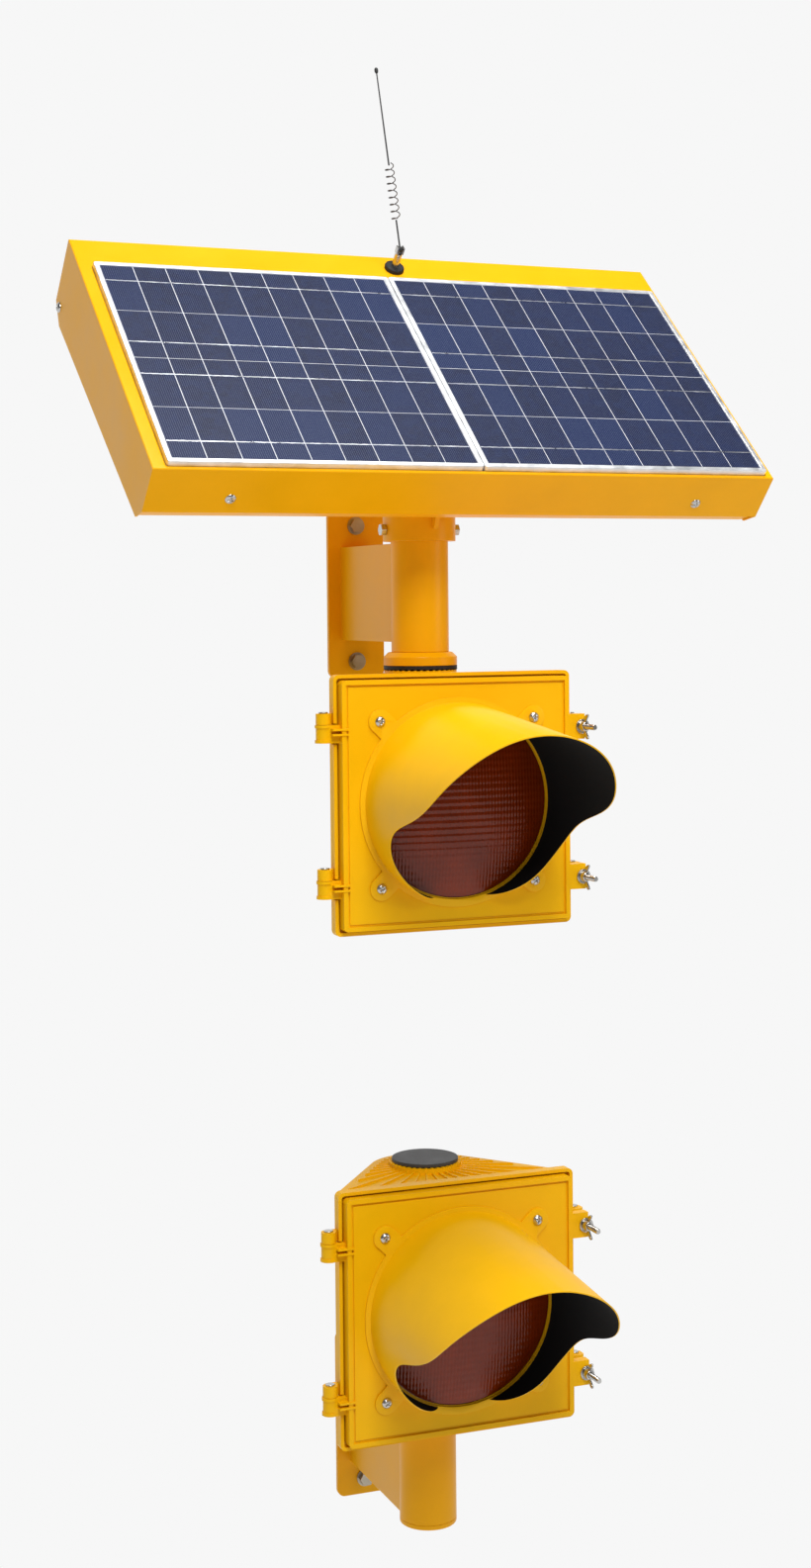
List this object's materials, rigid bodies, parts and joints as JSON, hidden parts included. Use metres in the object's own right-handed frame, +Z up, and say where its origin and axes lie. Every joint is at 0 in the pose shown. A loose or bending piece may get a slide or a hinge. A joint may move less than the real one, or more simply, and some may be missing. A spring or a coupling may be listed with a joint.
{
  "type": "solar flashing beacon set",
  "caption": "Solar-powered flashing beacon set for a roadside pole: tilted solar box with whip antenna, and hinged amber signal heads with cut-away visors on steel brackets.",
  "frame": {"origin": "centre of the upper back plate's bolt pattern, on the plate's rear face, which lies against the pole", "axes": "+Z up along the pole, -Y towards the road, +X to the right of someone facing +Y"},
  "size_m": [0.6927, 0.5496, 1.605],
  "materials": {
    "yellow_powder_coat": "satin",
    "yellow_polycarbonate": "satin",
    "amber_lens": "gloss",
    "black_rubber": "matte",
    "black_plastic": "matte",
    "stainless_steel": "satin",
    "module_frame_aluminium": "satin",
    "solar_cells": "gloss",
    "battery_case": "matte",
    "controller_case": "matte",
    "lamp_case": "matte",
    "zinc_steel": "satin"
  },
  "bodies": {
    "brackets": {"lower_post_cap": "yellow_powder_coat", "upper_serrated_ring": "black_rubber", "upper_hub_flange": "yellow_powder_coat", "upper_lock_nut": "zinc_steel", "upper_mount_bracket": "yellow_powder_coat", "upper_mount_bolts": "zinc_steel", "upper_post": "yellow_powder_coat", "lower_serrated_ring": "black_rubber", "lower_hub_flange": "yellow_powder_coat", "lower_lock_nut": "zinc_steel", "lower_mount_bracket": "yellow_powder_coat", "lower_mount_bolts": "zinc_steel", "lower_post": "yellow_powder_coat"},
    "upper_head": {"upper_housing": "yellow_polycarbonate", "upper_pivot_pins": "stainless_steel", "upper_terminal_block": "black_plastic", "upper_hub_cap": "black_plastic"},
    "upper_door_set": {"upper_door": "yellow_polycarbonate", "upper_door_gasket": "black_rubber", "upper_visor": "yellow_polycarbonate", "upper_visor_screws": "stainless_steel", "upper_lens": "amber_lens", "upper_lens_clips": "stainless_steel", "upper_led_lamp": "lamp_case"},
    "upper_top_eyebolt": {"upper_eyebolt_top": "stainless_steel"},
    "upper_top_washer": {"upper_washer_top": "stainless_steel"},
    "upper_top_wing_nut": {"upper_wing_nut_top": "stainless_steel"},
    "upper_bottom_eyebolt": {"upper_eyebolt_bottom": "stainless_steel"},
    "upper_bottom_washer": {"upper_washer_bottom": "stainless_steel"},
    "upper_bottom_wing_nut": {"upper_wing_nut_bottom": "stainless_steel"},
    "lower_head": {"lower_housing": "yellow_polycarbonate", "lower_pivot_pins": "stainless_steel", "lower_terminal_block": "black_plastic", "lower_hub_cap": "black_plastic"},
    "lower_door_set": {"lower_door": "yellow_polycarbonate", "lower_door_gasket": "black_rubber", "lower_visor": "yellow_polycarbonate", "lower_visor_screws": "stainless_steel", "lower_lens": "amber_lens", "lower_lens_clips": "stainless_steel", "lower_led_lamp": "lamp_case"},
    "lower_top_eyebolt": {"lower_eyebolt_top": "stainless_steel"},
    "lower_top_washer": {"lower_washer_top": "stainless_steel"},
    "lower_top_wing_nut": {"lower_wing_nut_top": "stainless_steel"},
    "lower_bottom_eyebolt": {"lower_eyebolt_bottom": "stainless_steel"},
    "lower_bottom_washer": {"lower_washer_bottom": "stainless_steel"},
    "lower_bottom_wing_nut": {"lower_wing_nut_bottom": "stainless_steel"},
    "solar_box": {"solar_box_lid": "yellow_powder_coat", "solar_box_pan": "yellow_powder_coat", "solar_module_frames": "module_frame_aluminium", "solar_module_panes": "solar_cells", "battery_packs": "battery_case", "charge_controller": "controller_case", "lid_screws": "stainless_steel", "box_collar": "yellow_powder_coat", "collar_set_screws": "stainless_steel", "antenna_base": "black_rubber", "antenna_ferrule": "stainless_steel"},
    "whip": {"antenna_whip": "black_plastic"}
  },
  "joints": [
    {"name": "upper_head_aim", "type": "hinge", "parent": "brackets", "child": "upper_head", "pos_m": [0, -0.198, -0.212], "axis": [0, 0, 1], "range_deg": [-60, 60]},
    {"name": "upper_door_hinge", "type": "hinge", "parent": "upper_head", "child": "upper_door_set", "pos_m": [-0.139, -0.284, -0.212], "axis": [0, 0, -1], "range_deg": [0, 110]},
    {"name": "upper_top_eyebolt_swing", "type": "hinge", "parent": "upper_head", "child": "upper_top_eyebolt", "pos_m": [0.139, -0.268, -0.1395], "axis": [0, 0, 1], "range_deg": [0, 100]},
    {"name": "upper_top_washer_slide", "type": "slide", "parent": "upper_top_eyebolt", "child": "upper_top_washer", "axis": [0, -1, 0], "range_m": [0, 0.00381]},
    {"name": "upper_top_wing_nut_spin", "type": "hinge", "parent": "upper_top_washer", "child": "upper_top_wing_nut", "pos_m": [0.139, -0.303, -0.1395], "axis": [0, -1, 0], "range_deg": [0, 1080]},
    {"name": "upper_bottom_eyebolt_swing", "type": "hinge", "parent": "upper_head", "child": "upper_bottom_eyebolt", "pos_m": [0.139, -0.268, -0.2945], "axis": [0, 0, 1], "range_deg": [0, 100]},
    {"name": "upper_bottom_washer_slide", "type": "slide", "parent": "upper_bottom_eyebolt", "child": "upper_bottom_washer", "axis": [0, -1, 0], "range_m": [0, 0.00381]},
    {"name": "upper_bottom_wing_nut_spin", "type": "hinge", "parent": "upper_bottom_washer", "child": "upper_bottom_wing_nut", "pos_m": [0.139, -0.303, -0.2945], "axis": [0, -1, 0], "range_deg": [0, 1080]},
    {"name": "lower_head_aim", "type": "hinge", "parent": "brackets", "child": "lower_head", "pos_m": [0, -0.198, -0.73], "axis": [0, 0, 1], "range_deg": [-60, 60]},
    {"name": "lower_door_hinge", "type": "hinge", "parent": "lower_head", "child": "lower_door_set", "pos_m": [-0.139, -0.284, -0.73], "axis": [0, 0, -1], "range_deg": [0, 110]},
    {"name": "lower_top_eyebolt_swing", "type": "hinge", "parent": "lower_head", "child": "lower_top_eyebolt", "pos_m": [0.139, -0.268, -0.6575], "axis": [0, 0, 1], "range_deg": [0, 100]},
    {"name": "lower_top_washer_slide", "type": "slide", "parent": "lower_top_eyebolt", "child": "lower_top_washer", "axis": [0, -1, 0], "range_m": [0, 0.00381]},
    {"name": "lower_top_wing_nut_spin", "type": "hinge", "parent": "lower_top_washer", "child": "lower_top_wing_nut", "pos_m": [0.139, -0.303, -0.6575], "axis": [0, -1, 0], "range_deg": [0, 1080]},
    {"name": "lower_bottom_eyebolt_swing", "type": "hinge", "parent": "lower_head", "child": "lower_bottom_eyebolt", "pos_m": [0.139, -0.268, -0.8125], "axis": [0, 0, 1], "range_deg": [0, 100]},
    {"name": "lower_bottom_washer_slide", "type": "slide", "parent": "lower_bottom_eyebolt", "child": "lower_bottom_washer", "axis": [0, -1, 0], "range_m": [0, 0.00381]},
    {"name": "lower_bottom_wing_nut_spin", "type": "hinge", "parent": "lower_bottom_washer", "child": "lower_bottom_wing_nut", "pos_m": [0.139, -0.303, -0.8125], "axis": [0, -1, 0], "range_deg": [0, 1080]},
    {"name": "solar_box_pan", "type": "hinge", "parent": "brackets", "child": "solar_box", "pos_m": [0, -0.198, 0.1], "axis": [0, 0, 1], "range_deg": [-45, 45]},
    {"name": "antenna_tilt", "type": "hinge", "parent": "solar_box", "child": "whip", "pos_m": [0.01631, -0.10963, 0.37129], "axis": [0.9991, 0.0419, 0], "range_deg": [-30, 59]}
  ],
  "couplings": [
    {"joint": "upper_top_wing_nut_spin", "follows": "upper_top_washer_slide", "rad_per_m": 4947.4},
    {"joint": "upper_bottom_wing_nut_spin", "follows": "upper_bottom_washer_slide", "rad_per_m": 4947.4},
    {"joint": "lower_top_wing_nut_spin", "follows": "lower_top_washer_slide", "rad_per_m": 4947.4},
    {"joint": "lower_bottom_wing_nut_spin", "follows": "lower_bottom_washer_slide", "rad_per_m": 4947.4}
  ]
}
